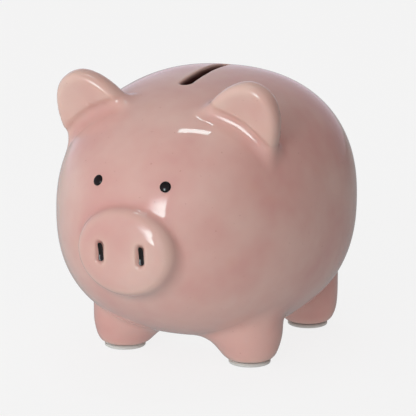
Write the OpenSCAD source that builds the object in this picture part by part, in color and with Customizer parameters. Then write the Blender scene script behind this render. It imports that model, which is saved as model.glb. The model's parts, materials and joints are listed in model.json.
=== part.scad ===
// Pig coin bank in slip-cast glazed earthenware.
// The pig looks along -Y and stands on Z = 0. Its overall box is centred on X = 0, Y = 0.
// All lengths are in millimetres, and all angles in degrees.

/* [Body] */
// Half of the body's width
body_half_w = 49; // [42:0.1:59]
// Half of the body's length, without snout and tail
body_half_l = 57.7; // [50:0.1:70]
// Half of the body's height, before the belly is cut flat
body_half_h = 46.2; // [40:0.1:50]
// How square the body is: 2 gives an ellipsoid
body_squareness = 2.32; // [2.1:0.01:2.6]
// How much wider the rump is than the face
rump_taper = 0.127; // [0.05:0.001:0.2]
// Height of the body's axis above the table
axis_height = 51.7; // [49:0.1:62]
// Thickness of the ceramic wall
wall = 3.5; // [2.5:0.1:4.5]

/* [Snout] */
// Half of the snout's width
snout_half_w = 18.3; // [14:0.1:22]
// Half of the snout's height
snout_half_h = 15.6; // [12:0.1:19]
// Half of the snout's depth, most of it inside the face
snout_half_l = 12; // [9:0.1:15]
// How far the snout's face stands in front of the body
snout_reach = 4.2; // [3:0.1:8]
// How far the snout's middle lies below the body's axis
snout_drop = 4.6; // [0:0.1:8]
// How blunt the snout's face is: 2 is round, more is flatter
snout_bluntness = 3.4; // [2.4:0.1:5]

/* [Nostrils] */
// Distance between the two nostrils
nostril_spacing = 14.8; // [10:0.1:18]
// Length of each nostril groove
nostril_length = 8; // [5:0.1:10]
// Radius of the groove's round bottom
nostril_r = 1.7; // [1.4:0.1:2.5]
// Depth of the groove
nostril_depth = 1.5; // [1:0.1:2]
// Width of the black glaze line in each groove
nostril_glaze_w = 1.6; // [1:0.1:2]
// Thickness of the black glaze line
nostril_glaze_t = 0.5; // [0.3:0.1:0.8]

/* [Eyes] */
// Diameter of each eye dot
eye_d = 3.8; // [2.5:0.1:6]
// Distance between the two eyes
eye_spacing = 24.7; // [16:0.1:34]
// How far the eyes lie above the body's axis
eye_rise = 17.2; // [10:0.1:24]
// How far each eye stands proud of the skin
eye_proud = 0.5; // [0.3:0.1:1]
// Depth of each eye's seat in the ceramic
eye_seat = 0.6; // [0.4:0.1:1]

/* [Ears] */
// Distance of each ear's root from the middle plane
ear_root_x = 26.5; // [24:0.1:29]
// How far the ear roots lie in front of the body's middle
ear_root_forward = 25.2; // [18:0.1:28]
// How far the ear roots lie above the body's axis
ear_root_rise = 32.1; // [29:0.1:35]
// Width of the ear along its root
ear_w = 27.8; // [24:0.1:32]
// Height of the ear from its root to its tip
ear_h = 18.9; // [15:0.1:24]
// How far the ear's root is sunk into the body
ear_sink = 2; // [1:0.1:4]
// Thickness of the ear
ear_t = 7.4; // [5:0.1:9]
// Radius of the ear's round tip
ear_tip_r = 11; // [7:0.1:12]
// How far the ear's root line slopes down to the side
ear_slope = 29; // [22:1:42]
// How far the ear leans forward
ear_lean = 16; // [8:1:32]

/* [Legs] */
// Distance of each leg from the middle plane
leg_x = 24.3; // [20:0.1:28]
// How far the front legs stand in front of the body's middle
leg_front = 12; // [9:0.1:18]
// How far the rear legs stand behind the body's middle
leg_rear = 40.5; // [36:0.1:42]
// Radius of each leg
leg_r = 11; // [9.5:0.1:12]
// Height at which each leg is thickest and starts to close in towards the body
leg_waist_z = 17; // [14:0.1:20]
// Radius of each leg's flat foot, and of its pad
foot_r = 7.3; // [6:0.1:8.8]
// Height over which each foot rounds out to the leg
foot_round_h = 7.5; // [5:0.1:9]

/* [Foot pads] */
// Thickness of each foot pad
pad_t = 1.3; // [0.8:0.1:2.5]
// Bevel of each pad's rim
pad_bevel = 0.2; // [0.1:0.05:0.4]

/* [Tail] */
// Radius of the tail's curl where it starts, at the middle of its cord
tail_curl_r = 6; // [5:0.1:7]
// Radius of the tail's cord at its thick end
tail_cord_r = 2.4; // [2:0.1:2.8]
// How far the tail lies above the body's axis
tail_rise = 4; // [-4:0.1:12]
// How far round the tail's curl goes
tail_turn = 310; // [240:5:330]
// How deep the tail's cord sinks into the rump
tail_sink = 1; // [0.5:0.1:1.5]

/* [Coin slot] */
// Length of the coin slot
slot_length = 39; // [30:0.5:44]
// Width of the coin slot
slot_width = 4.6; // [4.5:0.1:6]
// How far the slot's middle lies behind the body's middle
slot_back = 5.4; // [0:0.1:12]

/* [Belly] */
// How much of the body's underside the belly's flat takes off
belly_cut = 2.5; // [2:0.1:4]
// Depth of the round recess that the stopper's flange sits in
recess_depth = 1.8; // [1.2:0.1:2.5]
// Diameter of the hole in the belly
hole_d = 31; // [25.5:0.1:32]
// How far the hole's middle lies behind the body's middle
hole_back = 13; // [9:0.1:17]

/* [Stopper] */
// Diameter of the stopper's flange
flange_d = 37; // [34:0.5:39]
// Thickness of the stopper's flange
flange_t = 2.2; // [1.8:0.1:3]
// How far the stopper's plug stands inside the belly's floor
plug_past_wall = 1.5; // [0.8:0.1:3]
// Wall of the stopper's hollow plug
plug_wall = 2.2; // [1.6:0.1:3]
// Gap all round between the stopper and the ceramic
stopper_gap = 0.15; // [0.1:0.01:0.3]
// Diameter of the finger pocket in the flange
pocket_d = 17; // [14:0.5:20]
// Depth of the finger pocket
pocket_depth = 2.6; // [2:0.1:3.5]
// Floor between the finger pocket and the plug's hollow
pocket_floor = 1.5; // [1:0.1:2]
// Width of the pull bar across the finger pocket
pull_bar_w = 3.2; // [2:0.1:4]
// Thickness of the pull bar
pull_bar_t = 1.4; // [1:0.1:1.8]

/* [Hidden] */

pink = [0.84, 0.66, 0.64];
black = [0.05, 0.045, 0.045];
pad_grey = [0.82, 0.82, 0.8];
stopper_white = [0.9, 0.89, 0.87];

// Signs of the two sides and of the two ends: the pig's left is +X, and its rear +Y
left = 1;
right = -1;
front = -1;
rear = 1;

// Facets round and along the moulded forms, which are meshes
skin_around = 48;
skin_along = 28;
hollow_around = 36;
hollow_along = 20;
snout_around = 40;
snout_along = 18;
ear_fn = 28;
// Facets of everything that is truly round
round_fn = 96;
// How far a cutting shape runs past what it cuts
past = 1;

// The body's middle, placed so that snout and tail end equally far from Y = 0
snout_front = body_half_l + snout_reach;
tail_back = body_half_l - tail_sink + tail_cord_r * 1.35;
body_y = (snout_front - tail_back) / 2;

snout_z = axis_height - snout_drop;
snout_y = body_y - snout_front + snout_half_l;
leg_top = axis_height - body_half_h * 0.3;
belly_flat_z = axis_height - body_half_h + belly_cut;
recess_z = belly_flat_z + recess_depth;
belly_floor_z = recess_z + wall;
hole_y = body_y + hole_back;
plug_top_z = belly_floor_z + plug_past_wall;
plug_r = hole_d / 2 - stopper_gap;
recess_r = flange_d / 2 + stopper_gap;
slot_y = body_y + slot_back;

// A power that keeps its base's sign, for superellipses
function signed_pow(base, e) = sign(base) * pow(abs(base), e);

// How far in front of the body's middle its skin lies, at x and z from its axis, by bisection
function skin_forward(x, z, low = 0, high = 1, steps = 24) =
    let (t = (low + high) / 2,
         share = 1 - rump_taper * t,
         fill = pow(abs(x) / (body_half_w * share), body_squareness)
              + pow(abs(z) / (body_half_h * share), body_squareness)
              + pow(t, body_squareness))
    steps == 0 ? t * body_half_l
    : fill < 1 ? skin_forward(x, z, t, high, steps - 1)
    : skin_forward(x, z, low, t, steps - 1);

// The direction straight out of the face's skin there, from its slopes either side
function skin_normal(x, z, d = 0.5) =
    [skin_forward(x - d, z) - skin_forward(x + d, z), -2 * d,
     skin_forward(x, z - d) - skin_forward(x, z + d)];

// How far the snout's face lies behind its front, at x from its middle
function snout_face_back(x) =
    let (s = abs(x) / snout_half_w)
    snout_half_l * (1 - pow(1 - pow(s, snout_bluntness), 1 / snout_bluntness));

// A closed skin over rings of points, with a point at each end. Seen from the start, each ring
// runs anticlockwise.
module closed_skin(start, rings, end) {
    around = len(rings[0]);
    points = concat([start], [for (ring = rings) each ring], [end]);
    last = len(points) - 1;
    start_cap = [for (j = [0 : around - 1]) [0, 1 + (j + 1) % around, 1 + j]];
    end_cap = [for (j = [0 : around - 1])
        [last, last - around + j, last - around + (j + 1) % around]];
    bands = [for (i = [0 : len(rings) - 2]) for (j = [0 : around - 1])
        let (a = 1 + i * around + j,
             b = 1 + i * around + (j + 1) % around)
        each [[a, b + around, a + around], [a, b, b + around]]];
    polyhedron(points, concat(start_cap, bands, end_cap));
}

// A closed egg along Y, with superelliptic sections. Its rear is wider than its front by taper.
module egg(half_w, half_l, half_h, squareness, bluntness, taper, around, along) {
    rings = [for (i = [1 : along - 1])
        let (t = -cos(180 * i / along),
             s = (1 + taper * t) * pow(1 - pow(abs(t), bluntness), 1 / bluntness))
        [for (j = [0 : around - 1])
            let (a = 360 * j / around)
            [half_w * s * signed_pow(cos(a), 2 / squareness),
             half_l * t,
             half_h * s * signed_pow(sin(a), 2 / squareness)]]];
    closed_skin([0, -half_l, 0], rings, [0, half_l, 0]);
}

module at_body_middle() {
    translate([0, body_y, axis_height]) children();
}

module body_egg(inset, around, along) {
    at_body_middle()
        egg(body_half_w - inset, body_half_l - inset, body_half_h - inset,
            body_squareness, body_squareness, rump_taper, around, along);
}

module snout_egg(inset, around, along) {
    translate([0, snout_y, snout_z])
        egg(snout_half_w - inset, snout_half_l - inset, snout_half_h - inset,
            2, snout_bluntness, 0, around, along);
}

// Everything above a height
module above(z) {
    size = 4 * body_half_l;
    translate([-size / 2, -size / 2, z]) cube(size);
}

// One ear as a flat-sided lobe, its root on the origin, its tip up +Z
module ear_lobe() {
    root_r = ear_t / 2;
    hull() {
        for (side = [-1, 1])
            translate([side * (ear_w / 2 - root_r), 0, -ear_sink])
                sphere(r = root_r, $fn = ear_fn);
        translate([0, 0, ear_h - ear_tip_r])
            scale([1, ear_t / 2 / ear_tip_r, 1])
                sphere(r = ear_tip_r, $fn = ear_fn);
    }
}

module ear(side) {
    mirror([side == left ? 0 : 1, 0, 0])
        at_body_middle()
            translate([ear_root_x, -ear_root_forward, ear_root_rise])
                rotate([0, ear_slope, 0])
                    rotate([ear_lean, 0, 0])
                        ear_lobe();
}

module at_leg(side, end) {
    y = end == front ? -leg_front : leg_rear;
    translate([side * leg_x, body_y + y, 0]) children();
}

// A leg's outline in radius and height, shrunk by inset: its foot rounds out on one ellipse, and
// its upper end rounds in on another, inside the body
module leg_outline(inset) {
    steps = 8;
    foot_z = pad_t + inset;
    foot = foot_r - inset;
    round_w = leg_r - foot_r;
    r = leg_r - inset;
    dome_h = leg_top - leg_waist_z - inset;
    polygon(concat(
        [[0, foot_z]],
        [for (i = [0 : steps])
            let (a = 90 * i / steps)
            [foot + round_w * sin(a), foot_z + foot_round_h * (1 - cos(a))]],
        [for (i = [0 : steps])
            let (a = 90 * i / steps)
            [r * cos(a), leg_waist_z + dome_h * sin(a)]]));
}

module leg(inset) {
    rotate_extrude($fn = round_fn) leg_outline(inset);
}

module all_legs(inset) {
    for (side = [left, right], end = [front, rear])
        at_leg(side, end) leg(inset);
}

// The middle of the tail's cord, at share u of its length: a curl that closes in on itself
function tail_path(u) =
    let (a = 120 - tail_turn * u, r = tail_curl_r * (1 - 0.45 * u))
    [r * cos(a), tail_cord_r * 0.7 * u, r * sin(a)];

// The tail: a tapering cord that curls once on the rump, with round ends
module tail() {
    around = 16;
    along = 30;
    ends = 4;
    rings = [for (i = [-ends : along + ends])
        let (u = min(max(i / along, 0), 1),
             past_end = i < 0 ? i / (ends + 1) : i > along ? (i - along) / (ends + 1) : 0,
             way = tail_path(u + 0.01) - tail_path(u - 0.01),
             ahead = way / norm(way),
             aside = cross([0, 1, 0], ahead) / norm(cross([0, 1, 0], ahead)),
             up = cross(aside, ahead),
             cord_r = tail_cord_r * (1 - 0.35 * u),
             r = cord_r * cos(90 * past_end),
             middle = tail_path(u) + ahead * cord_r * sin(90 * past_end))
        [for (j = [0 : around - 1])
            let (a = 360 * j / around)
            middle + r * (aside * cos(a) + up * sin(a))]];
    first_way = tail_path(0.01) - tail_path(-0.01);
    last_way = tail_path(1.01) - tail_path(0.99);
    translate([0, body_y + body_half_l - tail_sink, axis_height + tail_rise])
        closed_skin(tail_path(0) - first_way / norm(first_way) * tail_cord_r, rings,
                    tail_path(1) + last_way / norm(last_way) * tail_cord_r * 0.65);
}

// The coin slot's cutting shape, with round ends
module coin_slot() {
    reach = slot_length / 2 - slot_width / 2;
    z = axis_height + body_half_h * 0.75;
    h = body_half_h * 0.25 + 2 * wall;
    translate([0, slot_y, z]) {
        translate([-slot_width / 2, -reach, 0]) cube([slot_width, 2 * reach, h]);
        for (end = [front, rear])
            translate([0, end * reach, 0])
                cylinder(d = slot_width, h = h, $fn = round_fn);
    }
}

// An upright groove with round ends, its middle on the origin
module nostril_capsule() {
    reach = nostril_length / 2 - nostril_r;
    translate([0, 0, -reach]) cylinder(r = nostril_r, h = 2 * reach, $fn = round_fn);
    for (z = [-reach, reach])
        translate([0, 0, z]) sphere(r = nostril_r, $fn = round_fn);
}

module at_nostril(side) {
    x = nostril_spacing / 2;
    face_y = snout_y - snout_half_l + snout_face_back(x);
    translate([side * x, face_y + nostril_depth - nostril_r, snout_z]) children();
}

// The line of black glaze that lies in the bottom of one nostril groove
module nostril(side) {
    reach = nostril_length / 2 - nostril_r;
    color(black) at_nostril(side) intersection() {
        nostril_capsule();
        translate([0, nostril_r - nostril_glaze_t, 0]) rotate([-90, 0, 0]) {
            translate([-nostril_glaze_w / 2, -reach, 0])
                cube([nostril_glaze_w, 2 * reach, nostril_r]);
            for (y = [-reach, reach])
                translate([0, y, 0])
                    cylinder(d = nostril_glaze_w, h = nostril_r, $fn = round_fn);
        }
    }
}

// Children's +Z points straight out of the skin at one eye
module at_eye(side) {
    x = eye_spacing / 2;
    n = skin_normal(x, eye_rise);
    tilt = acos(n[2] / norm(n));
    turn = atan2(n[1], n[0]);
    mirror([side == left ? 0 : 1, 0, 0])
        at_body_middle()
            translate([x, -skin_forward(x, eye_rise), eye_rise])
                rotate([0, tilt, turn]) children();
}

module eye_seat_cut() {
    translate([0, 0, -eye_seat]) cylinder(d = eye_d, h = eye_seat + past, $fn = round_fn);
}

// A drop of black glaze: a disc in its seat with a domed top
module eye(side) {
    dome_r = (pow(eye_d / 2, 2) + pow(eye_proud, 2)) / (2 * eye_proud);
    color(black) at_eye(side) intersection() {
        eye_seat_cut();
        translate([0, 0, eye_proud - dome_r]) sphere(r = dome_r, $fn = round_fn);
    }
}

// The closed outer form: body, snout, ears, legs and tail cast or luted into one
module outer_form() {
    intersection() {
        body_egg(0, skin_around, skin_along);
        above(belly_flat_z);
    }
    snout_egg(0, snout_around, snout_along);
    for (side = [left, right]) ear(side);
    all_legs(0);
    tail();
}

// The space that the poured-out slip leaves
module inner_form() {
    intersection() {
        body_egg(wall, hollow_around, hollow_along);
        above(belly_floor_z);
    }
    snout_egg(wall, hollow_around, snout_along);
    all_legs(wall);
}

module ceramic_body() {
    color(pink) difference() {
        outer_form();
        inner_form();
        coin_slot();
        translate([0, hole_y, -past])
            cylinder(d = hole_d, h = belly_floor_z + 2 * past, $fn = round_fn);
        translate([0, hole_y, -past])
            cylinder(r = recess_r, h = recess_z + past, $fn = round_fn);
        for (side = [left, right]) {
            at_nostril(side) nostril_capsule();
            at_eye(side) eye_seat_cut();
        }
    }
}

// The soft stopper: a flange with a hollow plug above it, and a finger pocket with a pull bar below
module stopper() {
    flange_z = recess_z - flange_t;
    pocket_top = flange_z + pocket_depth;
    color(stopper_white) translate([0, hole_y, 0]) {
        difference() {
            union() {
                translate([0, 0, flange_z])
                    cylinder(d = flange_d, h = flange_t, $fn = round_fn);
                translate([0, 0, recess_z])
                    cylinder(r = plug_r, h = plug_top_z - recess_z, $fn = round_fn);
            }
            translate([0, 0, pocket_top + pocket_floor])
                cylinder(r = plug_r - plug_wall, h = plug_top_z, $fn = round_fn);
            translate([0, 0, flange_z - past])
                cylinder(d = pocket_d, h = pocket_depth + past, $fn = round_fn);
        }
        intersection() {
            translate([0, 0, flange_z]) cylinder(d = pocket_d, h = pull_bar_t, $fn = round_fn);
            translate([-pull_bar_w / 2, -pocket_d, flange_z])
                cube([pull_bar_w, 2 * pocket_d, pull_bar_t]);
        }
    }
}

// One self-adhesive pad under one foot
module foot_pad(side, end) {
    color(pad_grey) at_leg(side, end) {
        cylinder(r1 = foot_r - pad_bevel, r2 = foot_r, h = pad_bevel, $fn = round_fn);
        translate([0, 0, pad_bevel]) cylinder(r = foot_r, h = pad_t - pad_bevel, $fn = round_fn);
    }
}

ceramic_body();
stopper();
foot_pad(left, front);  // foot_pad_front_left
foot_pad(right, front);  // foot_pad_front_right
foot_pad(left, rear);  // foot_pad_rear_left
foot_pad(right, rear);  // foot_pad_rear_right
eye(left);  // eye_left
eye(right);  // eye_right
nostril(left);  // nostril_left
nostril(right);  // nostril_right
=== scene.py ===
# %% [markdown]
# # A glazed earthenware pig bank
# The real object is one hollow pot in the shape of a pig. Liquid clay is poured into a plaster
# mould, and once a wall has set against the plaster the rest is poured out. The pot is dried,
# fired, dipped in pink glaze and fired again, and two eyes and two nostril lines are painted on
# in black. Four soft pads go under the feet, and a rubber stopper closes the belly.
#
# The CAD parts give the size, the joints and the places of things. Blender gives the looks: the
# soft hollows where one form runs into the next, and the deep gloss of the glaze.

# %% Load the CAD frame
import bpy
import json
import numpy as np
from mathutils import Matrix, Vector

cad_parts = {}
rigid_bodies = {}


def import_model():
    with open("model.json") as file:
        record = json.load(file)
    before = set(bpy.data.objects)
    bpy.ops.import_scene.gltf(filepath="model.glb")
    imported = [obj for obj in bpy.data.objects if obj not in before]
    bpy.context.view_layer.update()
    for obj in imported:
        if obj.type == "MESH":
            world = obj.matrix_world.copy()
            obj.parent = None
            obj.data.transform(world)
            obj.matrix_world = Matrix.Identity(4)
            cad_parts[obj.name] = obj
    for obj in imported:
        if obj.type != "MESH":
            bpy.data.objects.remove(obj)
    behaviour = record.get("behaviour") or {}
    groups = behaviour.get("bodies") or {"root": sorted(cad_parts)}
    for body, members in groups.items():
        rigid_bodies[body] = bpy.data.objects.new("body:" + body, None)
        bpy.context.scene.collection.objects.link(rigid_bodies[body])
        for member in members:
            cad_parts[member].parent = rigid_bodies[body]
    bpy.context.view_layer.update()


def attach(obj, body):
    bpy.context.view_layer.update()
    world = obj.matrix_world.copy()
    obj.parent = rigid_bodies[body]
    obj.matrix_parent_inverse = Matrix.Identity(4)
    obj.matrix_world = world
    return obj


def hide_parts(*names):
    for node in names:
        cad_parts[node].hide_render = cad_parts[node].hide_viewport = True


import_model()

# %% [markdown]
# ## Working in millimetres
# Sizes of a pot are easiest to think of in millimetres, and Blender's unit here is the metre, so
# one number turns the one into the other when a mesh is made. Every mesh in this file is made by
# the same function. `foreach_set` hands a whole array to the mesh at once, which is much quicker
# than a loop, and the object itself stays at the origin, so that patterns in its material, which
# read object coordinates, keep their size and place.

# %% Turn arrays into a mesh object
MM = 0.001


def make_piece(name, points_mm, faces, body, smooth=True):
    """A mesh object from points in millimetres and faces of three or four points each."""
    mesh = bpy.data.meshes.new(name)
    corner_count = np.array([len(f) for f in faces]) if isinstance(faces, list) else \
        np.full(len(faces), faces.shape[1])
    corners = np.concatenate([np.ravel(f) for f in faces]) if isinstance(faces, list) else faces.ravel()
    mesh.vertices.add(len(points_mm))
    mesh.vertices.foreach_set("co", np.asarray(points_mm, float).ravel() * MM)
    mesh.loops.add(len(corners))
    mesh.loops.foreach_set("vertex_index", corners.astype(np.int32))
    mesh.polygons.add(len(corner_count))
    starts = np.concatenate([[0], np.cumsum(corner_count)[:-1]])
    mesh.polygons.foreach_set("loop_start", starts.astype(np.int32))
    mesh.update(calc_edges=True)
    mesh.polygons.foreach_set("use_smooth", np.full(len(corner_count), smooth))
    mesh.validate()
    piece = bpy.data.objects.new(name, mesh)
    bpy.context.scene.collection.objects.link(piece)
    if body:
        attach(piece, body)
    return piece


# %% [markdown]
# ## One formula for all the clay forms
# The body, the snout, the ears and the legs are all eggs of one kind. A cross-section is a
# superellipse: an ellipse whose power may be more than 2, which makes it squarer. The ends are
# closed by the same kind of curve, and the section may taper from end to end.
#
# The CAD part joins such forms with sharp creases. Wet clay has none: the potter fills each joint
# with slip and wipes it with a sponge. A surface that is one function of two parameters can't
# branch into legs and ears, so the skin is described by its distance instead: each form is a
# function of a point in space that says how far the point is outside it, in millimetres. Two such
# distances can be blended, and the blend has the soft hollow that the sponge leaves.

# %% Distance from one clay form
def egg_distance(p, middle, half, squareness=2.0, bluntness=2.0, taper=0.0, turn=np.eye(3)):
    """How far points lie outside an egg along its own third axis.

    With u, v, t the point's place over the egg's half sizes and s = 1 + taper * t, the egg's
    level is ((|u|/s)^n + (|v|/s)^n)^(m/n) + |t|^m, to the power 1/m, less 1. Divided by the
    length of its slope, that is close to the distance near the skin."""
    q = (p - middle) @ turn
    u, v, t = (np.abs(q[..., 0]) / half[0], np.abs(q[..., 1]) / half[1], q[..., 2] / half[2])
    s = np.maximum(1 + taper * t, 0.2)
    n, m = squareness, bluntness
    tiny = 1e-9
    side = (u / s) ** n + (v / s) ** n + tiny
    level = side ** (m / n) + np.abs(t) ** m + tiny
    root = level ** (1 / m)
    lead = root / level * side ** (m / n - 1)
    slope_u = lead * (u / s) ** (n - 1) / (s * half[0])
    slope_v = lead * (v / s) ** (n - 1) / (s * half[1])
    slope_t = (root / level * np.sign(t) * np.abs(t) ** (m - 1) - lead * side * taper / s) / half[2]
    return (root - 1) / np.sqrt(slope_u ** 2 + slope_v ** 2 + slope_t ** 2 + 1e-8)


def soft_union(a, b, reach):
    """The nearer of two forms, with a hollow of the given reach where they meet:
    min(a, b) - h^2 / (4 reach), where h is how far |a - b| falls short of the reach."""
    return np.minimum(a, b) - np.maximum(reach - np.abs(a - b), 0) ** 2 / (4 * reach)


def soft_cut(a, b, reach):
    """The form a with b taken away, and the new edge rounded over the same way."""
    return -soft_union(-a, b, reach)


def turned(yaw, slope, lean):
    """Axes of a form that leans about X, then slopes about Y, then turns about Z, as columns."""
    def spin(degrees, i, j):
        m, a = np.eye(3), np.radians(degrees)
        m[i, i] = m[j, j] = np.cos(a)
        m[i, j], m[j, i] = -np.sin(a), np.sin(a)
        return m
    return spin(yaw, 0, 1) @ spin(slope, 2, 0) @ spin(lean, 1, 2)


# %% [markdown]
# ## The sizes of the pig
# These repeat the CAD part's sizes, in millimetres, because this file can't read that one. The
# pig looks along -Y and stands on Z = 0.

# %% Sizes
BODY = np.array([0.0, 0.98, 51.7])
BODY_HALF = (49.0, 46.2, 57.7)
BODY_SQUARE, RUMP_TAPER = 2.32, 0.127
WALL = 3.5
BELLY_FLAT, BELLY_FLOOR = 8.0, 13.3
SNOUT = np.array([0.0, -48.92, 47.1])
SNOUT_HALF = (18.0, 15.3, 12.0)
EAR_ROOT = BODY + [26.5, -25.2, 32.1]
EAR_HALF = (13.9, 3.9, 18.7)
LEG_X, LEG_Y, LEG_R, PAD_T = 24.3, (-11.02, 41.48), 11.0, 1.3
HOLE = np.array([0.0, 13.98])
HOLE_R, RECESS_R, RECESS_Z = 15.5, 18.65, 9.8
SLOT_Y, SLOT_HALF_L, SLOT_R = 6.38, 17.0, 2.2
NOSTRIL_X, NOSTRIL_Z, NOSTRIL_HALF = 7.4, 47.1, 2.3

ALONG_Y = np.array([[1.0, 0, 0], [0, 0, 1.0], [0, 1.0, 0]])
UPRIGHT = np.eye(3)


# %% [markdown]
# ## Legs, ears and tail
# On the real pot these are small solid or hollow lumps that are cast with the body or stuck on
# with slip. A leg is a blunt upright egg with a flat foot. An ear is a pressed slab with round
# edges and a slightly dished face. The tail is a rolled cord of clay, which is drawn as a row of
# balls so close together that they run into one. The pig is the same on both sides but for the
# tail, so legs and ears use the distance from the middle plane and are worked out once.

# %% Legs, ears and tail
def leg_distance(p, inset=0.0):
    """The nearer of the front and rear leg on this side: upright blunt eggs, cut flat at the foot."""
    q = np.stack([np.abs(p[..., 0]), p[..., 1], p[..., 2]], -1)
    legs = [egg_distance(q, np.array([LEG_X, y, 18.0]), (LEG_R, LEG_R, 17.7), 2, 3.8, 0, UPRIGHT)
            for y in LEG_Y]
    nearer = np.minimum(*legs) + inset
    return -soft_union(-nearer, p[..., 2] - PAD_T - inset, 1.2)


def ear_distance(p, head):
    """One upright ear: a slab with an egg's outline, all its edges rounded, its face dished.

    The head's distance sets where the face ends: near the head the slab is a little thinner,
    which leaves a lip, and the union's wide hollow runs from under the lip to the head."""
    q = np.stack([np.abs(p[..., 0]), p[..., 1], p[..., 2]], -1)
    axes = turned(6.0, 29.0, 16.0)
    across, through, up = np.moveaxis((q - EAR_ROOT) @ axes, -1, 0)
    outline = egg_distance(q, EAR_ROOT, (EAR_HALF[0], 80.0, EAR_HALF[2]), 2.3, 2.3, -0.2, axes)
    dish = 0.7 * np.exp(-(across ** 2 + (up - 8) ** 2) / 40)
    below_lip = np.clip((5.2 - head) / 2.6, 0, 1)
    step = 1.0 * below_lip * below_lip * (3 - 2 * below_lip)
    slab = np.maximum(through, -through + dish + step) - EAR_HALF[1]
    return soft_cut(outline, -slab, 3.6)


def tail_path(u):
    """The middle of the tail's cord: an arc of 310 degrees that closes in and lifts off the rump."""
    a, r = np.radians(120 - 310 * u), 6.0 * (1 - 0.45 * u)
    return np.stack([r * np.cos(a), 57.68 + 1.68 * u, 55.7 + r * np.sin(a)], -1)


def tail_distance(p):
    """Distance to the nearest of 40 balls along the cord, which shrink towards its tip."""
    u = np.linspace(0, 1, 40)
    gap = np.full(p.shape[:-1], 1e3)
    for middle, r in zip(tail_path(u), 2.4 * (1 - 0.35 * u)):
        gap = np.minimum(gap, np.linalg.norm(p - middle, axis=-1) - r)
    return gap


# %% [markdown]
# ## The closed skin
# The forms are blended one after another, each with the reach of hollow that it has on the real
# pot: tight at the top of the snout and softer below it, wide under the belly where the legs flow
# out of it, and tight round the ears. The snout's face lies 0.15 mm lower than its rim, which is
# how the sponge leaves a wiped disc, and it makes the rim stand out as a pale ring. The same
# forms, shrunk by the wall, give the cavity that the poured-out slip leaves.

# %% The whole skin
def main_forms(p, inset=0.0):
    """Body, snout and legs, each shrunk by inset and blended, with the belly cut flat."""
    floor = BELLY_FLAT if inset == 0 else BELLY_FLOOR
    body = egg_distance(p, BODY, BODY_HALF, BODY_SQUARE, BODY_SQUARE, RUMP_TAPER, ALONG_Y) + inset
    body = -soft_union(-body, p[..., 2] - floor, 2.5)
    snout = egg_distance(p, SNOUT, SNOUT_HALF, 2, 4.2, 0, ALONG_Y) + inset
    out = np.hypot(p[..., 0] / SNOUT_HALF[0], (p[..., 2] - SNOUT[2]) / SNOUT_HALF[1])
    face = np.clip((0.88 - out) / 0.12, 0, 1)
    snout = snout + 0.15 * face * face * (3 - 2 * face)
    low = np.clip((17 - p[..., 2]) / 9, 0, 1)
    leg_reach = 3.5 + 6.5 * low * low * (3 - 2 * low)
    under_snout = np.clip((SNOUT[2] + 4 - p[..., 2]) / 18, 0, 1)
    head = soft_union(body, snout, 1.3 + 3.2 * under_snout)
    return soft_union(head, leg_distance(p, inset), leg_reach)


def outer_skin(p):
    """The closed outer form, before anything is cut."""
    head = main_forms(p)
    skin = soft_union(head, ear_distance(p, head), 3.6)
    near_tail = p[..., 1] > 48
    skin[near_tail] = soft_union(skin[near_tail], tail_distance(p[near_tail]), 1.6)
    return skin


# %% [markdown]
# ## What is cut
# While the clay is still as soft as leather the slot is cut with a blade and its lips are wiped
# round, the hole is cut in the belly, and a round tool presses the two nostrils. Each cut is
# a distance of its own, taken away from the skin with the edge rounded by the reach given.

# %% Slot, hole, nostrils and cavity
def slot_distance(p):
    """Distance to an upright slot with round ends, for points above the body's middle."""
    run = np.maximum(np.abs(p[..., 1] - SLOT_Y) - SLOT_HALF_L, 0)
    gap = np.hypot(run, p[..., 0]) - SLOT_R
    return np.maximum(gap, BODY[2] + 20 - p[..., 2])


def hole_distance(p):
    """Distance to the belly's hole and the wider recess below it."""
    r = np.hypot(p[..., 0] - HOLE[0], p[..., 1] - HOLE[1])
    hole = np.maximum(r - HOLE_R, p[..., 2] - 20)
    return np.minimum(hole, np.maximum(r - RECESS_R, p[..., 2] - RECESS_Z))


def nostril_distance(p):
    """Distance to one upright groove in the snout's face: a short rod with round ends."""
    run = np.maximum(np.abs(p[..., 2] - NOSTRIL_Z) - NOSTRIL_HALF, 0)
    away = np.stack([np.abs(p[..., 0]) - NOSTRIL_X, p[..., 1] + 60.85, run], -1)
    return np.linalg.norm(away, axis=-1) - 1.5


def pig_distance(p):
    """How far points lie outside the fired clay."""
    skin = outer_skin(p)
    skin = soft_cut(skin, nostril_distance(p), 0.9)
    skin = soft_cut(skin, slot_distance(p), 0.8)
    skin = soft_cut(skin, hole_distance(p), 0.5)
    return soft_cut(skin, main_forms(p, WALL), 0.5)


# %% [markdown]
# ## From distance to mesh
# The skin is where the distance is zero. A lattice of points fills the space round the pig, and
# wherever the sign changes along a lattice edge the skin passes. Each small cell that the skin
# passes gets one point, at the mean of its crossings, and each lattice edge that is crossed gets
# one face between the four cells round it. This is called a surface net. The lattice planes stand
# closer together where small things are: nostrils, slot and ear rims.

# %% Lattice with closer planes where details are
def planes(low, high, wide, close, bands):
    """Places along one axis: steps of about wide, and of about close inside the bands."""
    places = [low]
    while places[-1] < high:
        at = places[-1]
        gap = min([max(a - at, at - b, 0) for a, b in bands], default=99)
        places.append(at + close + (wide - close) * min(gap / 4, 1))
    return np.array(places)


lattice = (planes(-52.13, 52, 1.34, 0.8, [(-10, -5), (-3.4, 3.4), (5, 10)]),
           planes(-63.07, 63, 1.34, 0.8, [(-63, -57)]),
           planes(0.31, 103, 1.34, 0.8, [(42.5, 51.5), (93, 99)]))
print("lattice:", [len(a) for a in lattice])

# %% [markdown]
# ## The net itself
# All cells are worked out at once, as arrays: for each of the three directions, the edges whose
# two ends lie on different sides of the skin are listed, and each gives one crossing to the four
# cells round it. The four cells' points, taken in turn, are the corners of that edge's face, and
# the turn is reversed where the edge enters the clay, so that every face looks outwards.

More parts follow.
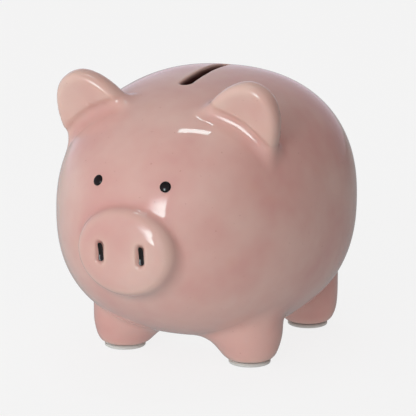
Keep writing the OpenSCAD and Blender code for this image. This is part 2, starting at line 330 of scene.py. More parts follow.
# %% The surface net
def surface_net(value, axes):
    """Points and four-sided faces of the zero surface of values on a lattice, inside negative."""
    inside = value < 0
    shape = tuple(n - 1 for n in value.shape)
    total, count = np.zeros(shape + (3,)), np.zeros(shape)
    crossings = []
    for a in range(3):
        b, c = (a + 1) % 3, (a + 2) % 3
        lo = [slice(None)] * 3
        hi = [slice(None)] * 3
        lo[a], hi[a] = slice(0, -1), slice(1, None)
        where = np.argwhere(inside[tuple(lo)] != inside[tuple(hi)])
        ahead = where.copy()
        ahead[:, a] += 1
        v0, v1 = value[tuple(where.T)], value[tuple(ahead.T)]
        at = np.stack([axes[k][where[:, k]] for k in range(3)], 1)
        at[:, a] += (axes[a][ahead[:, a]] - axes[a][where[:, a]]) * v0 / (v0 - v1)
        for db in (0, -1):
            for dc in (0, -1):
                cell = where.copy()
                cell[:, b] += db
                cell[:, c] += dc
                np.add.at(total, tuple(cell.T), at)
                np.add.at(count, tuple(cell.T), 1)
        crossings.append((a, where, v0 < 0))
    number = np.full(shape, -1)
    used = count > 0
    number[used] = np.arange(used.sum())
    faces = []
    for a, where, leaves in crossings:
        b, c = (a + 1) % 3, (a + 2) % 3
        quad = []
        for db, dc in ((-1, -1), (0, -1), (0, 0), (-1, 0)):
            cell = where.copy()
            cell[:, b] += db
            cell[:, c] += dc
            quad.append(number[tuple(cell.T)])
        quad = np.stack(quad, 1)
        quad[~leaves] = quad[~leaves][:, ::-1]
        faces.append(quad)
    return total[used] / count[used][:, None], np.concatenate(faces)


# %% [markdown]
# ## Drawn onto the skin
# A net alone is slightly lumpy, so each point is moved onto the skin along the slope of the
# distance, a few times over: the move is the distance divided by the slope's length, which is
# Newton's method. The slope is also the exact direction the skin faces, and is used again below
# to shade the mesh as smoothly as the glaze.

# %% Net the pig and draw it onto the skin
def slope(distance, p, step=0.05):
    """The slope of a distance at points, from its values a small step to each side."""
    return np.stack([(distance(p + e) - distance(p - e)) / (2 * step) for e in np.eye(3) * step], -1)


grid = np.stack(np.meshgrid(*lattice, indexing="ij"), -1)
net_points, net_faces = surface_net(pig_distance(grid), lattice)
for _ in range(4):
    toward = slope(pig_distance, net_points)
    steep = (toward ** 2).sum(1) + 1e-6
    move = -(pig_distance(net_points) / steep)[:, None] * toward
    length = np.linalg.norm(move, axis=1, keepdims=True)
    net_points += move * np.minimum(1, 0.4 / np.maximum(length, 1e-9))
print("skin:", len(net_points), "points,", len(net_faces), "faces")
off = np.abs(pig_distance(net_points))
print("largest miss, mm:", round(float(off.max()), 3), " typical:", round(float(np.median(off)), 5))

# %% [markdown]
# ## Where the glaze is thin and where it pools
# Glaze is a thick soup of glass powder. In the kiln it melts and creeps: off every outward edge,
# where the white clay then shines through, and into every hollow, where it lies thick and its
# pink is deeper. Whether a place is an edge or a hollow is its curvature, which the distance
# gives directly: the mean distance of six points round it, less its own. It is stored on the mesh
# as two attributes that the glaze material reads. A third one marks the throat of the slot, where
# little light gets down. It is painted shade: the glaze there is mixed towards a dark brown.

# %% Curvature as attributes
def curvature(distance, p, step):
    """Six neighbours' mean distance less the point's own, over step squared: edges positive."""
    ring = sum(distance(p + e) + distance(p - e) for e in np.eye(3) * step)
    return (ring / 6 - distance(p)) / step ** 2


# %% [markdown]
# ## The pig's mesh
# The mesh carries the three attributes, the first two smoothed a little over neighbouring points,
# because glaze has no sharp borders. The ears are dipped last and drain well, so theirs is thinner
# all over. Below 24 mm the pink grows deeper towards the feet: partly the glaze that runs down the
# legs and lies thicker there, and partly painted shade low on the pig. The cavity's distance tells
# which faces are inside the pot. The inside is bare clay, so those faces get a second material later.

# %% The pig's mesh and its three attributes
body_piece = make_piece("glazed_pig", net_points, net_faces, "bank")
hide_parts("ceramic_body")
bend = curvature(pig_distance, net_points, 1.0)
thin = np.clip((bend - 0.02) / 0.07, 0, 1)
pool_and_shade = np.clip((-bend - 0.008) / 0.05, 0, 1)
on_ear = ear_distance(net_points, main_forms(net_points)) < 0.3
thin = np.maximum(thin, 0.12 * on_ear)
# Partly painted shade: the pink deepens below 24 mm, as well as where glaze runs down the legs.
pool_and_shade = np.maximum(pool_and_shade, 0.5 * np.clip((24 - net_points[:, 2]) / 14, 0, 1))
# Painted shade: the throat of the slot, where little light gets down, is marked to be dark.
depth = -main_forms(net_points)
slot_shade = np.clip((depth - 0.1) / 1.7, 0, 1) * (slot_distance(net_points) < 0.5)
for _ in range(6):
    for values in (thin, pool_and_shade):
        spread = values[net_faces].mean(1)
        total = np.bincount(net_faces.ravel(), np.repeat(spread, 4), len(net_points))
        values[:] = 0.4 * values + 0.6 * total / np.bincount(net_faces.ravel(), minlength=len(net_points))
for name, values in (("glaze_thin", thin), ("glaze_pool", pool_and_shade), ("coin_wear", slot_shade)):
    body_piece.data.attributes.new(name, "FLOAT", "POINT").data.foreach_set("value", values)
inside_wall = main_forms(net_points, WALL * 0.9) < 0
facing = slope(pig_distance, net_points)
facing /= np.linalg.norm(facing, axis=1, keepdims=True)
body_piece.data.normals_split_custom_set_from_vertices(facing)
print("glaze thin on", round(float((thin > 0.3).mean()), 3), "of points, pooled on",
      round(float((pool_and_shade > 0.3).mean()), 3))

# %% [markdown]
# ## Round pieces: a profile turned about an axis
# Pads, eyes and stopper are round, so each is a function of two parameters: how far along its
# profile, and how far round its axis. The profile is a list of radius and height. Sharp corners
# of the profile are rounded first, because moulded rubber and melted glaze have none.

# %% Turn a profile into a closed surface
def round_corners(profile, r, steps=5):
    """Replaces each inner corner of an open profile by a curve from r before it to r after it:
    (1-s)^2 * before + 2 s (1-s) * corner + s^2 * after, with s from 0 to 1."""
    p = np.asarray(profile, float)
    r = np.broadcast_to(r, len(p))
    s = np.linspace(0, 1, steps)[:, None]
    out = [p[:1]]
    for i in range(1, len(p) - 1):
        back, ahead = p[i - 1] - p[i], p[i + 1] - p[i]
        reach = min(r[i], 0.45 * np.linalg.norm(back), 0.45 * np.linalg.norm(ahead))
        a = p[i] + back / np.linalg.norm(back) * reach
        b = p[i] + ahead / np.linalg.norm(ahead) * reach
        out.append((1 - s) ** 2 * a + 2 * s * (1 - s) * p[i] + s ** 2 * b)
    return np.concatenate(out + [p[-1:]])


def turn_profile(profile, around=96):
    """Points (r cos a, r sin a, z) for each profile point and angle, and faces that close the
    surface at the axis. The profile starts and ends on the axis, and runs from top to bottom."""
    r, z = profile[1:-1].T
    a = np.linspace(0, 2 * np.pi, around, endpoint=False)
    rings = np.stack([r[:, None] * np.cos(a), r[:, None] * np.sin(a), np.repeat(z[:, None], around, 1)], -1)
    points = np.concatenate([[[0, 0, profile[0, 1]]], rings.reshape(-1, 3), [[0, 0, profile[-1, 1]]]])
    j = np.arange(around)
    k = (j + 1) % around
    base = 1 + np.arange(len(r) - 1)[:, None] * around
    walls = np.stack([base + j, base + around + j, base + around + k, base + k], -1).reshape(-1, 4)
    last = 1 + (len(r) - 1) * around
    top = np.stack([np.zeros_like(j), 1 + j, 1 + k], -1)
    bottom = np.stack([np.full_like(j, len(points) - 1), last + k, last + j], -1)
    return points, [*top, *walls, *bottom]


# %% [markdown]
# ## Foot pads
# Stick-on pads are punched from a sheet of soft grey-white rubber with glue on one side. The
# punch leaves a slightly rounded lower rim, and the glued face is a little smaller than the foot,
# which leaves a fine dark line between pad and glaze.

# %% Four pads
FOOT_R = 7.3
pad_profile = round_corners([(0, PAD_T), (FOOT_R - 0.35, PAD_T), (FOOT_R - 0.35, PAD_T - 0.22),
                             (FOOT_R, PAD_T - 0.3), (FOOT_R, 0), (0, 0)], [0, 0.05, 0.05, 0.08, 0.4, 0])
pad_points, pad_faces = turn_profile(pad_profile, 80)
pads = []
for end, y in zip(("front", "rear"), LEG_Y):
    for side, x in (("left", LEG_X), ("right", -LEG_X)):
        name = f"foot_pad_{end}_{side}"
        pad = make_piece("soft_" + name, pad_points + [x, y, 0], pad_faces, "bank")
        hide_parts(name)
        pads.append(pad)
print("pads:", len(pads), "of", len(pad_faces), "faces each")

# %% [markdown]
# ## Eyes
# An eye is one drop of black glaze, set down with the tip of a brush. Surface tension pulls it
# into a low dome with a soft foot. The dome is turned about its own axis, and then its axis is
# laid along the direction that the skin faces there, so it sits squarely on the curved cheek.

# %% Two drops of black glaze
def frame_on(direction, up=(0, 0, 1)):
    """Three axes as columns, the third one along a direction, the second close to up."""
    w = np.asarray(direction, float) / np.linalg.norm(direction)
    u = np.cross(up, w)
    u /= np.linalg.norm(u)
    return np.stack([u, np.cross(w, u), w], 1)


EYE_R, EYE_PROUD = 1.9, 0.55
EYE = BODY + [12.35, -75.0, 17.2]
for _ in range(40):
    EYE[1] += 0.9 * pig_distance(EYE[None])[0]
eye_profile = round_corners([(0, EYE_PROUD), (0.74, 0.50), (1.32, 0.37), (1.71, 0.17), (EYE_R, -0.04),
                             (EYE_R - 0.1, -0.5), (0, -0.55)], 0.22)
drop_points, drop_faces = turn_profile(eye_profile, 48)
eyes = []
for side, sign in (("left", 1), ("right", -1)):
    at = EYE * [sign, 1, 1]
    faces_out = slope(pig_distance, at[None])[0]
    eye = make_piece("glaze_eye_" + side, drop_points @ frame_on(faces_out).T + at, drop_faces, "bank")
    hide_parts("eye_" + side)
    eyes.append(eye)
print("eye at, mm:", EYE.round(2))

# %% [markdown]
# ## Nostril lines
# The brush fills the bottom of each groove with one short stroke of black glaze: a thick line
# with round ends, a little wider at its lower end, where the brush was lifted. A flattened round
# section carried along a short path gives it. Wet glaze climbs the groove's walls, so the stroke
# is hollow both across and along, and the hollow catches a glint of the lamp in front.

# %% Two brush strokes
def carry_section(path, widths, depths, cup, facing, around=24):
    """Points path + width * cos(a) * across + (depth * sin(a) + cup * cos(a)^2) * facing for each
    place on the path and angle, with the ends closed by a point. The cup bends its edges up."""
    ahead = np.gradient(path, axis=0)
    ahead /= np.linalg.norm(ahead, axis=1, keepdims=True)
    across = np.cross(ahead, facing)
    across /= np.linalg.norm(across, axis=1, keepdims=True)
    a = np.linspace(0, 2 * np.pi, around, endpoint=False)
    rings = (path[:, None] + widths[:, None, None] * np.cos(a)[:, None] * across[:, None]
             + (depths[:, None] * np.sin(a) + cup * np.cos(a) ** 2)[..., None] * np.asarray(facing))
    points = np.concatenate([path[:1], rings.reshape(-1, 3), path[-1:]])
    j = np.arange(around)
    k = (j + 1) % around
    base = 1 + np.arange(len(path) - 1)[:, None] * around
    walls = np.stack([base + j, base + around + j, base + around + k, base + k], -1).reshape(-1, 4)
    last = 1 + (len(path) - 1) * around
    start = np.stack([np.zeros_like(j), 1 + j, 1 + k], -1)
    end = np.stack([np.full_like(j, len(points) - 1), last + k, last + j], -1)
    return points, [*start, *walls, *end]


s = np.linspace(-1, 1, 33)
ends = np.sqrt(np.maximum(1 - np.maximum((np.abs(s) - 0.72) / 0.28, 0) ** 2, 0.0004))
stroke_half = 3.05
for side, sign in (("left", 1), ("right", -1)):
    middle = np.array([sign * NOSTRIL_X + 0.12, -59.4, NOSTRIL_Z])
    path = middle + np.stack([0.28 * s, -0.5 * s * s, -stroke_half * s], 1)
    widths = (0.88 + 0.12 * s * np.abs(s)) * ends
    points, faces = carry_section(path, widths, 0.25 * ends, 0.36, (0, -1.0, 0))
    stroke = make_piece("glaze_nostril_" + side, points, faces, "bank")
    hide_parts("nostril_" + side)
print("strokes: 2 of", len(faces), "faces")

# %% [markdown]
# ## Stopper
# The stopper is moulded in soft off-white rubber: a flange that lies in the belly's recess, a
# hollow plug above it that grips the hole with two low ribs, and a finger pocket below with a bar
# across it to pull on. The cup is one closed profile turned about its axis. The bar is a second
# closed form inside the same object, run into the pocket's walls.

# %% Turned cup and pull bar
FLANGE_Z, FLANGE_R, PLUG_R, PLUG_TOP = 7.6, 18.5, 15.35, 14.8
cup = round_corners([(0, 11.7), (13.15, 11.7), (13.35, PLUG_TOP), (PLUG_R - 0.55, PLUG_TOP),
                     (PLUG_R - 0.1, 13.9), (PLUG_R - 0.35, 13.2), (PLUG_R - 0.35, 12.4), (PLUG_R, 11.8),
                     (PLUG_R - 0.35, 11.2), (PLUG_R - 0.35, RECESS_Z), (FLANGE_R, RECESS_Z),
                     (FLANGE_R, FLANGE_Z), (8.5, FLANGE_Z), (8.3, 10.2), (0, 10.2)],
                    [0, 0.8, 0.4, 0.4, 0.4, 0.3, 0.3, 0.4, 0.3, 0.2, 0.3, 0.5, 0.4, 0.7, 0])
cup_points, cup_faces = turn_profile(cup, 128)
bar_s = np.linspace(-1, 1, 41)
bar_ends = np.sqrt(np.maximum(1 - np.maximum((np.abs(bar_s) - 0.9) / 0.1, 0) ** 2, 0.0004))
bar_path = np.stack([0 * bar_s, 9.2 * bar_s, 8.3 + 0 * bar_s], 1)
bar_points, bar_faces = carry_section(bar_path, 1.6 * bar_ends, 0.68 * bar_ends, 0.0, (0, 0, -1.0), 32)
stopper_faces = cup_faces + [np.asarray(f) + len(cup_points) for f in bar_faces]
stopper = make_piece("soft_stopper", np.concatenate([cup_points, bar_points]) + [0, HOLE[1], 0],
                     stopper_faces, "plug")
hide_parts("stopper")
print("stopper:", len(stopper_faces), "faces")

# %% [markdown]
# ## Materials
# Colours are picked on a screen in sRGB, but light adds up linearly, so one function turns a hex
# colour into the linear numbers that Blender's shaders use. A second small function adds a node,
# sets its inputs and links them, so that each material below reads as a short recipe.

# %% Two helpers for materials
def linear(hex_colour, alpha=1.0):
    """Linear colour from sRGB: c / 12.92 when dark, else ((c + 0.055) / 1.055) ^ 2.4."""
    c = np.array([int(hex_colour[i:i + 2], 16) / 255 for i in (1, 3, 5)])
    return (*np.where(c <= 0.04045, c / 12.92, ((c + 0.055) / 1.055) ** 2.4), alpha)


def add(tree, kind, inputs=None, **settings):
    """A node of a kind, with its settings, and its inputs set to values or linked to sockets."""
    made = tree.nodes.new(kind)
    for name, value in settings.items():
        setattr(made, name, value)
    for name, value in (inputs or {}).items():
        if isinstance(value, bpy.types.NodeSocket):
            tree.links.new(value, made.inputs[name])
        else:
            made.inputs[name].default_value = value
    return made


def new_material(name):
    """A material with an empty tree but for its output and a Principled shader."""
    material = bpy.data.materials.new(name)
    material.use_nodes = True
    shader = material.node_tree.nodes["Principled BSDF"]
    return material, material.node_tree, shader


# %% [markdown]
# ## Pink glaze on white earthenware
# The glaze is a layer of clear glass over a layer of pigment. The glass is smooth as a mirror
# and reflects only a few hundredths of the light head on, and much more at a slant. A coat on
# the shader is just that. Under it the pigment scatters light softly, and a little light spreads
# sideways through it, which is subsurface scattering with a reach of a millimetre or two.
#
# The colour is not even. Dipping leaves cloudy patches some 25 mm across, thin glaze on the
# edges lets the warm white clay through, and the hollows hold more pink. The surface waves very
# slightly, as melted glass does, over some 12 mm, and here and there is a pinprick or a speck
# half a millimetre wide.

# %% The pink glaze
glaze, tree, shader = new_material("dipped_pink_glaze")
place = add(tree, "ShaderNodeTexCoord").outputs["Object"]
clouds = add(tree, "ShaderNodeTexNoise", {"Vector": place, "Scale": 1 / 0.025, "Detail": 3.0, "Roughness": 0.55})
cloud_mix = add(tree, "ShaderNodeMapRange", {"Value": clouds.outputs["Fac"], "From Min": 0.36, "From Max": 0.64})
clouded = add(tree, "ShaderNodeMixRGB", {"Fac": cloud_mix.outputs["Result"], "Color1": linear("#d5a59d"),
                                         "Color2": linear("#dcb8ae")})
warm = add(tree, "ShaderNodeTexNoise", {"Vector": place, "Scale": 1 / 0.018, "Detail": 2.0, "W": 3.0},
           noise_dimensions="4D")
warm_mix = add(tree, "ShaderNodeMapRange", {"Value": warm.outputs["Fac"], "From Min": 0.62, "From Max": 0.8,
                                            "To Max": 0.5})
warmed = add(tree, "ShaderNodeMixRGB", {"Fac": warm_mix.outputs["Result"], "Color1": clouded.outputs["Color"],
                                        "Color2": linear("#d9b19b")})
# Deeper pink from pooled glaze in hollows, and painted shade low on the pig.
pool_and_shade_at = add(tree, "ShaderNodeAttribute", attribute_name="glaze_pool")
pool_and_shade_mix = add(tree, "ShaderNodeMath", {0: pool_and_shade_at.outputs["Fac"], 1: 0.55}, operation="MULTIPLY")
pooled_and_shaded = add(tree, "ShaderNodeMixRGB", {"Fac": pool_and_shade_mix.outputs["Value"], "Color1": warmed.outputs["Color"],
                                        "Color2": linear("#cb8780")})
thin_at = add(tree, "ShaderNodeAttribute", attribute_name="glaze_thin")
thin_mix = add(tree, "ShaderNodeMath", {0: thin_at.outputs["Fac"], 1: 0.8}, operation="MULTIPLY")
thinned = add(tree, "ShaderNodeMixRGB", {"Fac": thin_mix.outputs["Value"], "Color1": pooled_and_shaded.outputs["Color"],
                                         "Color2": linear("#e2c8b8")})
# Painted shade: the slot's throat is mixed towards dark brown.
slot_shade_at = add(tree, "ShaderNodeAttribute", attribute_name="coin_wear")
slot_shade = add(tree, "ShaderNodeMixRGB", {"Fac": slot_shade_at.outputs["Fac"], "Color1": thinned.outputs["Color"],
                                      "Color2": linear("#552e2b")})
speck = add(tree, "ShaderNodeTexNoise", {"Vector": place, "Scale": 1 / 0.0011, "Detail": 1.0})
speck_mix = add(tree, "ShaderNodeMapRange", {"Value": speck.outputs["Fac"], "From Min": 0.74, "From Max": 0.8,
                                             "To Max": 0.35})
specked = add(tree, "ShaderNodeMixRGB", {"Fac": speck_mix.outputs["Result"], "Color1": slot_shade.outputs["Color"],
                                         "Color2": linear("#a86f64")})
wave = add(tree, "ShaderNodeTexNoise", {"Vector": place, "Scale": 1 / 0.012, "Detail": 1.0})
ripple = add(tree, "ShaderNodeBump", {"Height": wave.outputs["Fac"], "Strength": 0.35, "Distance": 0.00012})
tree.links.new(specked.outputs["Color"], shader.inputs["Base Color"])
tree.links.new(ripple.outputs["Normal"], shader.inputs["Coat Normal"])
for name, value in {"Roughness": 0.5, "IOR": 1.5, "Specular IOR Level": 0.25, "Subsurface Weight": 0.18,
                    "Subsurface Radius": (1.0, 0.55, 0.45), "Subsurface Scale": 0.0018,
                    "Coat Weight": 1.0, "Coat Roughness": 0.018, "Coat IOR": 1.52}.items():
    shader.inputs[name].default_value = value

# %% [markdown]
# ## Bare clay inside
# The inside of the pot is never glazed. Fired white earthenware is matt and chalky, with a fine
# grain about a third of a millimetre across, and faint drips where the slip drained out.

# %% The bare clay
clay, tree, shader = new_material("fired_bare_clay")
place = add(tree, "ShaderNodeTexCoord").outputs["Object"]
drips = add(tree, "ShaderNodeTexNoise", {"Vector": place, "Scale": 1 / 0.02, "Detail": 4.0})
tone = add(tree, "ShaderNodeMixRGB", {"Fac": drips.outputs["Fac"], "Color1": linear("#b99a8d"),
                                      "Color2": linear("#d8c3b4")})
grain = add(tree, "ShaderNodeTexNoise", {"Vector": place, "Scale": 1 / 0.0007, "Detail": 2.0})
grit = add(tree, "ShaderNodeBump", {"Height": grain.outputs["Fac"], "Strength": 0.4, "Distance": 0.0001})
tree.links.new(tone.outputs["Color"], shader.inputs["Base Color"])
tree.links.new(grit.outputs["Normal"], shader.inputs["Normal"])
shader.inputs["Roughness"].default_value = 0.85

body_piece.data.materials.append(glaze)
body_piece.data.materials.append(clay)
inner_face = inside_wall[net_faces].all(1)
body_piece.data.polygons.foreach_set("material_index", inner_face.astype(np.int32))
print("bare clay on", round(float(inner_face.mean()), 3), "of faces")

# %% [markdown]
# ## Black glaze
# Iron and manganese make it black. It is as glossy as the pink, and slightly brown in patches, a
# bloom about a millimetre across.

# %% The black glaze
black_glaze, tree, shader = new_material("painted_black_glaze")
place = add(tree, "ShaderNodeTexCoord").outputs["Object"]
bloom = add(tree, "ShaderNodeTexNoise", {"Vector": place, "Scale": 1 / 0.0012, "Detail": 2.0})
tone = add(tree, "ShaderNodeMixRGB", {"Fac": bloom.outputs["Fac"], "Color1": linear("#080606"),
                                      "Color2": linear("#1a1312")})
swell = add(tree, "ShaderNodeBump", {"Height": bloom.outputs["Fac"], "Strength": 0.25, "Distance": 0.00005})
tree.links.new(tone.outputs["Color"], shader.inputs["Base Color"])
tree.links.new(swell.outputs["Normal"], shader.inputs["Normal"])
for name, value in {"Roughness": 0.05, "IOR": 1.46}.items():
    shader.inputs[name].default_value = value

# %% [markdown]
# ## Rubber
# Both rubbers are silicone, which is slightly milky: light goes a little way in. The pads are
# punched from a grey-white sheet with a satin skin. The stopper is moulded in off-white, and its
# mould was spark-eroded, which leaves an even fine grain, drawn here at 0.4 mm.

# %% Pad and stopper rubber
def milky_rubber(name, dark, light, roughness, grain_mm, depth_mm):
    """A soft milky rubber: two close tones in patches of 8 mm, and a fine bump."""
    material, tree, shader = new_material(name)
    place = add(tree, "ShaderNodeTexCoord").outputs["Object"]
    patches = add(tree, "ShaderNodeTexNoise", {"Vector": place, "Scale": 1 / 0.008, "Detail": 3.0})
    tone = add(tree, "ShaderNodeMixRGB", {"Fac": patches.outputs["Fac"], "Color1": linear(dark),
                                          "Color2": linear(light)})
    fine = add(tree, "ShaderNodeTexNoise", {"Vector": place, "Scale": 1000 / grain_mm, "Detail": 2.0})
    skin = add(tree, "ShaderNodeBump", {"Height": fine.outputs["Fac"], "Strength": 0.5, "Distance": depth_mm * MM})
    tree.links.new(tone.outputs["Color"], shader.inputs["Base Color"])
    tree.links.new(skin.outputs["Normal"], shader.inputs["Normal"])
    for name, value in {"Roughness": roughness, "IOR": 1.41, "Subsurface Weight": 0.25,
                        "Subsurface Scale": 0.002, "Subsurface Radius": (1.0, 0.9, 0.8)}.items():
        shader.inputs[name].default_value = value
    return material


pad_rubber = milky_rubber("punched_grey_silicone", "#c2c3bf", "#d1d2ce", 0.42, 0.5, 0.02)
stopper_rubber = milky_rubber("moulded_white_silicone", "#d9d5cd", "#ebe8e1", 0.5, 0.4, 0.03)
for piece in bpy.data.objects:
    if piece.type == "MESH" and not piece.data.materials:
        kind = "pad" if "pad" in piece.name else "stopper" if "stopper" in piece.name else "black"
        piece.data.materials.append({"pad": pad_rubber, "stopper": stopper_rubber, "black": black_glaze}[kind])
        print(piece.name, "gets", piece.data.materials[0].name)

# %% [markdown]
# ## The floor
# The pig stands on a plain pale sheet that has no visible edge. A pale sheet lit from all sides
# glows almost evenly, so part of its brightness is given as emission and only the rest can take
# a shadow, which keeps the shadow under the pig faint and soft. What the sheet throws back at the
# pig is weaker than what the camera sees of it, and weakest on the right, the studio's dark side.
# From below the sheet is clear, so that the belly and the stopper can be looked at.

# %% A pale floor that fades into the background
BACKGROUND = linear("#f4f4f4")
rings_m = np.concatenate([np.linspace(0.0, 0.3, 13)[1:], np.geomspace(0.36, 40, 20)])
floor_profile = np.stack([np.concatenate([[0], rings_m, [0]]) * 1000, np.full(len(rings_m) + 2, -0.03)], 1)
floor_points, floor_faces = turn_profile(floor_profile, 64)
floor = make_piece("pale_floor", floor_points[:-1], floor_faces[:-64], None, smooth=False)
sheet, tree, shader = new_material("pale_paper_sheet")
place = add(tree, "ShaderNodeTexCoord").outputs["Object"]
fibre = add(tree, "ShaderNodeTexNoise", {"Vector": place, "Scale": 1 / 0.004, "Detail": 2.0})
fibre_tone = add(tree, "ShaderNodeMixRGB", {"Fac": fibre.outputs["Fac"], "Color1": linear("#5a5a5a"),
                                            "Color2": linear("#5d5d5d")})
tree.links.new(fibre_tone.outputs["Color"], shader.inputs["Base Color"])
ray = add(tree, "ShaderNodeLightPath").outputs
mirrored = add(tree, "ShaderNodeMapRange", {"Value": ray["Is Glossy Ray"], "To Min": 1.0, "To Max": 0.5})
sideways = add(tree, "ShaderNodeSeparateXYZ", {"Vector": place}).outputs["X"]
fading = add(tree, "ShaderNodeMapRange", {"Value": sideways, "From Min": -0.25, "From Max": 0.25,
                                          "To Min": 0.88, "To Max": 0.3})
unseen = add(tree, "ShaderNodeMath", {0: fading.outputs["Result"], 1: mirrored.outputs["Result"]},
             operation="MULTIPLY")
glow = add(tree, "ShaderNodeMix", {"Factor": ray["Is Camera Ray"], "A": unseen.outputs["Value"], "B": 0.92})
tree.links.new(glow.outputs["Result"], shader.inputs["Emission Strength"])
for name, value in {"Roughness": 1.0, "Specular IOR Level": 0.0, "Emission Color": BACKGROUND}.items():
    shader.inputs[name].default_value = value
from_below = add(tree, "ShaderNodeNewGeometry").outputs["Backfacing"]
one_sided = add(tree, "ShaderNodeMixShader", {0: from_below, 1: shader.outputs["BSDF"],
                                              2: add(tree, "ShaderNodeBsdfTransparent").outputs["BSDF"]})
tree.links.new(one_sided.outputs["Shader"], tree.nodes["Material Output"].inputs["Surface"])
floor.data.materials.append(sheet)

# %% [markdown]
# ## The studio's walls
# The studio is bright in front, behind and to the left, dimmer overhead, and dark on the right,
# which models the pig's round side. Each of these is a smooth step along one direction, found
# with a dot product, and the steps are multiplied.
#
# What the gloss mirrors is dimmer than what lights the pig: real walls have gaps and dark
# corners. Only the backdrop stays bright, and shows as a pale rim where the glaze turns away.

# %% The studio round the pig
world = bpy.data.worlds.new("studio")
bpy.context.scene.world = world
world.use_nodes = True
tree = world.node_tree
sky = tree.nodes["Background"]
way = add(tree, "ShaderNodeTexCoord").outputs["Generated"]
to_right = add(tree, "ShaderNodeVectorMath", {0: way, 1: (0.92, 0.32, -0.2)}, operation="DOT_PRODUCT")
right_dark = add(tree, "ShaderNodeMapRange", {"Value": to_right.outputs["Value"], "From Min": 0.0,
                                              "From Max": 0.8, "To Min": 1.29, "To Max": 0.2},
                 interpolation_type="SMOOTHSTEP")
to_top = add(tree, "ShaderNodeVectorMath", {0: way, 1: (-0.25, 0.2, 0.95)}, operation="DOT_PRODUCT")
top_dim = add(tree, "ShaderNodeMapRange", {"Value": to_top.outputs["Value"], "From Min": 0.1,
                                           "From Max": 0.95, "To Min": 1.0, "To Max": 0.4},
              interpolation_type="SMOOTHSTEP")
ray = add(tree, "ShaderNodeLightPath").outputs
to_back = add(tree, "ShaderNodeVectorMath", {0: way, 1: (-0.42, 0.88, -0.22)}, operation="DOT_PRODUCT")
backdrop = add(tree, "ShaderNodeMapRange", {"Value": to_back.outputs["Value"], "From Min": 0.4,
                                            "From Max": 0.9, "To Min": 0.42, "To Max": 0.78},
               interpolation_type="SMOOTHSTEP")
mirrored = add(tree, "ShaderNodeMapRange", {"Value": ray["Is Glossy Ray"], "To Min": 1.0,
                                            "To Max": backdrop.outputs["Result"]})
round_light = add(tree, "ShaderNodeMath", {0: right_dark.outputs["Result"], 1: top_dim.outputs["Result"]},
                  operation="MULTIPLY")
walls = add(tree, "ShaderNodeMath", {0: round_light.outputs["Value"], 1: mirrored.outputs["Result"]},
            operation="MULTIPLY")

# %% [markdown]
# ## The softbox in front
# A softbox is a lamp behind cloth. This one stands in front of the pig and gives the lines of
# light round the snout and along the ears. It has a sharp right edge, and fades upwards and to
# the left, as cloth does where the lamp behind it is far away. An area light can't fade, so it is
# painted into the studio's walls: four edges, each a smooth step along X, Y or Z, multiplied.

# %% Four edges of a softbox
part = add(tree, "ShaderNodeSeparateXYZ", {"Vector": way}).outputs
box = 1.0
for axis, start, end, before, after in (("X", -0.24, 0.05, 0, 1), ("X", 0.115, 0.135, 1, 0),
                                        ("Y", -0.7, -0.6, 1, 0), ("Z", 0.27, 0.5, 1, 0)):
    edge = add(tree, "ShaderNodeMapRange", {"Value": part[axis], "From Min": start, "From Max": end,
                                            "To Min": before, "To Max": after}, interpolation_type="SMOOTHSTEP")
    box = add(tree, "ShaderNodeMath", {0: box, 1: edge.outputs["Result"]}, operation="MULTIPLY").outputs["Value"]
lit = add(tree, "ShaderNodeMath", {0: box, 1: 10.5, 2: walls.outputs["Value"]}, operation="MULTIPLY_ADD")
strength = add(tree, "ShaderNodeMix", {"Factor": ray["Is Camera Ray"], "A": lit.outputs["Value"], "B": 1.0})
tree.links.new(strength.outputs["Result"], sky.inputs["Strength"])

# %% [markdown]
# ## Three tints of white
# The dark side's light has bounced more often off warm things and is a little rosy. What the
# gloss mirrors is a cool lavender white, and the softbox is cool white, so that its reflections
# look white on pink. The camera sees none of this, only the plain background.

# %% Tint the studio
COOL_WHITE = linear("#e4ffff")
rosy = add(tree, "ShaderNodeMapRange", {"Value": to_right.outputs["Value"], "From Min": -0.2, "From Max": 0.9},
           interpolation_type="SMOOTHSTEP")
warm_side = add(tree, "ShaderNodeMixRGB", {"Fac": rosy.outputs["Result"], "Color1": BACKGROUND,
                                           "Color2": linear("#f4d0ca")})
shown = add(tree, "ShaderNodeMixRGB", {"Fac": ray["Is Glossy Ray"], "Color1": warm_side.outputs["Color"],
                                       "Color2": linear("#efe4f2")})
mirrored_box = add(tree, "ShaderNodeMath", {0: box, 1: ray["Is Glossy Ray"]}, operation="MULTIPLY")
cooled = add(tree, "ShaderNodeMixRGB", {"Fac": mirrored_box.outputs["Value"], "Color1": shown.outputs["Color"],
                                        "Color2": COOL_WHITE})
tint = add(tree, "ShaderNodeMixRGB", {"Fac": ray["Is Camera Ray"], "Color1": cooled.outputs["Color"],
                                      "Color2": BACKGROUND})
tree.links.new(tint.outputs["Color"], sky.inputs["Color"])

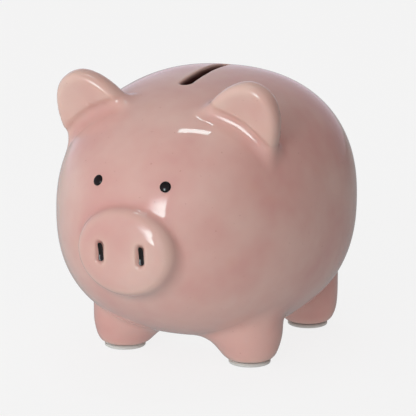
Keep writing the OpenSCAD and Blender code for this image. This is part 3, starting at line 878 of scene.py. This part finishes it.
# %% [markdown]
# ## The strip light overhead
# A long narrow softbox hangs above the head, 35 cm by 7 cm and 1.1 m up, and the gloss shows it
# as one crisp bar on the forehead. It is an area light, because it has an edge on all sides.

# %% A strip over the head
def pose(at, look_at):
    """The matrix that puts an object at a place with its -Z towards a point and its Y upwards."""
    back = (Vector(at) - Vector(look_at)).normalized()
    turn = back.to_track_quat("Z", "Y").to_matrix().to_4x4()
    return Matrix.Translation(at) @ turn


light = bpy.data.lights.new("overhead_strip", "AREA")
light.shape, light.size, light.size_y, light.energy = "RECTANGLE", 0.35, 0.07, 0.7
light.color = COOL_WHITE[:3]
strip = bpy.data.objects.new("overhead_strip", light)
above = Vector((-0.034, 0.074, 1.085))
strip.matrix_world = pose(above, (above.x, above.y, 0)) @ Matrix.Rotation(np.radians(4.6), 4, "Z")
bpy.context.scene.collection.objects.link(strip)
print("strip light at, metres:", [round(v, 3) for v in above])

# %% [markdown]
# ## The camera
# It stands a little to the pig's left and a little above it, 0.69 m away with a long lens, as is
# usual for views of small wares: from near by, the snout would look too large. Its direction
# is an azimuth round the pig and an elevation above the table, and it is aimed 2.4 mm beside the
# pig's middle, which sets the pig a little to the left of the view's middle.

# %% The camera
AZIMUTH, ELEVATION, DISTANCE = np.radians(25.5), np.radians(13.0), 0.686
away = np.array([np.sin(AZIMUTH) * np.cos(ELEVATION), -np.cos(AZIMUTH) * np.cos(ELEVATION), np.sin(ELEVATION)])
middle = np.array([0.0, 0.98, 49.4]) * MM
aside = np.array([np.cos(AZIMUTH), np.sin(AZIMUTH), 0.0])
aim = middle + aside * 2.43 * MM + np.cross(away, aside) * 0.32 * MM
camera = bpy.data.objects.new("camera", bpy.data.cameras.new("camera"))
bpy.context.scene.collection.objects.link(camera)
camera.data.sensor_width, camera.data.lens = 36.0, 168.8
camera.data.clip_start, camera.data.clip_end = 0.05, 100.0
camera.matrix_world = pose(middle + away * DISTANCE, aim)
bpy.context.scene.camera = camera
bpy.context.scene.view_settings.view_transform = "Standard"
print("camera at, metres:", [round(v, 3) for v in camera.matrix_world.translation])
